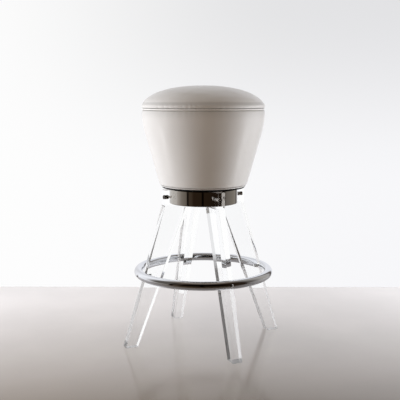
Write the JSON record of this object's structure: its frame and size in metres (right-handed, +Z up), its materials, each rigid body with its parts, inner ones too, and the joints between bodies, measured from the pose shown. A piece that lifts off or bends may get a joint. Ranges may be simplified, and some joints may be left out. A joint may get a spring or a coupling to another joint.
{
  "type": "swivel bar stool",
  "caption": "Backless round bar stool: an upholstered drum seat turns on a ball swivel in a polished collar, on clear fin legs with a chrome tube footrest ring.",
  "frame": {"origin": "on the floor, at the middle of the four feet, on the swivel's axis", "axes": "+Z up along the swivel's axis; the legs stand on the diagonals, so the front is -Y and +X is to the right seen from the front"},
  "size_m": [0.4162, 0.4162, 0.762],
  "materials": {
    "clear_acrylic": "clear cast acrylic sheet, sawn and flame polished",
    "dark_nickel": "dark nickel plate, mirror polished",
    "chrome": "bright chrome plate",
    "zinc_steel": "zinc plated steel",
    "bearing_steel": "ground and polished bearing steel",
    "brass": "turned and pressed brass",
    "nylon": "natural nylon",
    "black_steel": "satin black powder coat",
    "plywood": "sanded birch plywood",
    "post_wood": "planed beech",
    "foam": "cut upholstery foam",
    "leather": "smooth pale warm grey leather, soft sheen, fine grain"
  },
  "bodies": {
    "base": {"leg_front_left": "clear_acrylic", "leg_front_right": "clear_acrylic", "leg_back_right": "clear_acrylic", "leg_back_left": "clear_acrylic", "collar_band": "dark_nickel", "collar_plate": "zinc_steel", "leg_bolts": "zinc_steel", "leg_washers": "zinc_steel", "leg_sleeve_nuts": "dark_nickel", "footrest_ring": "chrome", "footrest_screws": "chrome", "footrest_inserts": "zinc_steel", "swivel_lower_plate": "zinc_steel", "swivel_bolts": "zinc_steel", "swivel_washers": "zinc_steel"},
    "ball_cage": {"bearing_balls": "bearing_steel", "ball_cage": "brass"},
    "seat": {"swivel_upper_plate": "zinc_steel", "pivot_pin": "zinc_steel", "pivot_washer": "nylon", "pivot_nut": "zinc_steel", "seat_bolts": "zinc_steel", "tee_nuts": "zinc_steel", "seat_plate": "black_steel", "plate_screws": "zinc_steel", "base_board": "plywood", "base_screws": "zinc_steel", "seat_posts": "post_wood", "deck_board": "plywood", "deck_screws": "zinc_steel", "drum_wall": "plywood", "side_padding": "foam", "side_cover": "leather", "hem_strip": "leather", "hem_piping": "leather", "cushion_foam": "foam", "top_cover": "leather", "top_piping": "leather"}
  },
  "joints": [
    {"name": "seat_swivel", "type": "hinge", "parent": "base", "child": "seat", "pos_m": [0, 0, 0.4572], "axis": [0, 0, 1], "continuous": true},
    {"name": "cage_spin", "type": "hinge", "parent": "base", "child": "ball_cage", "pos_m": [0, 0, 0.4572], "axis": [0, 0, 1], "continuous": true}
  ],
  "couplings": [
    {"joint": "cage_spin", "follows": "seat_swivel", "ratio": 0.5}
  ]
}
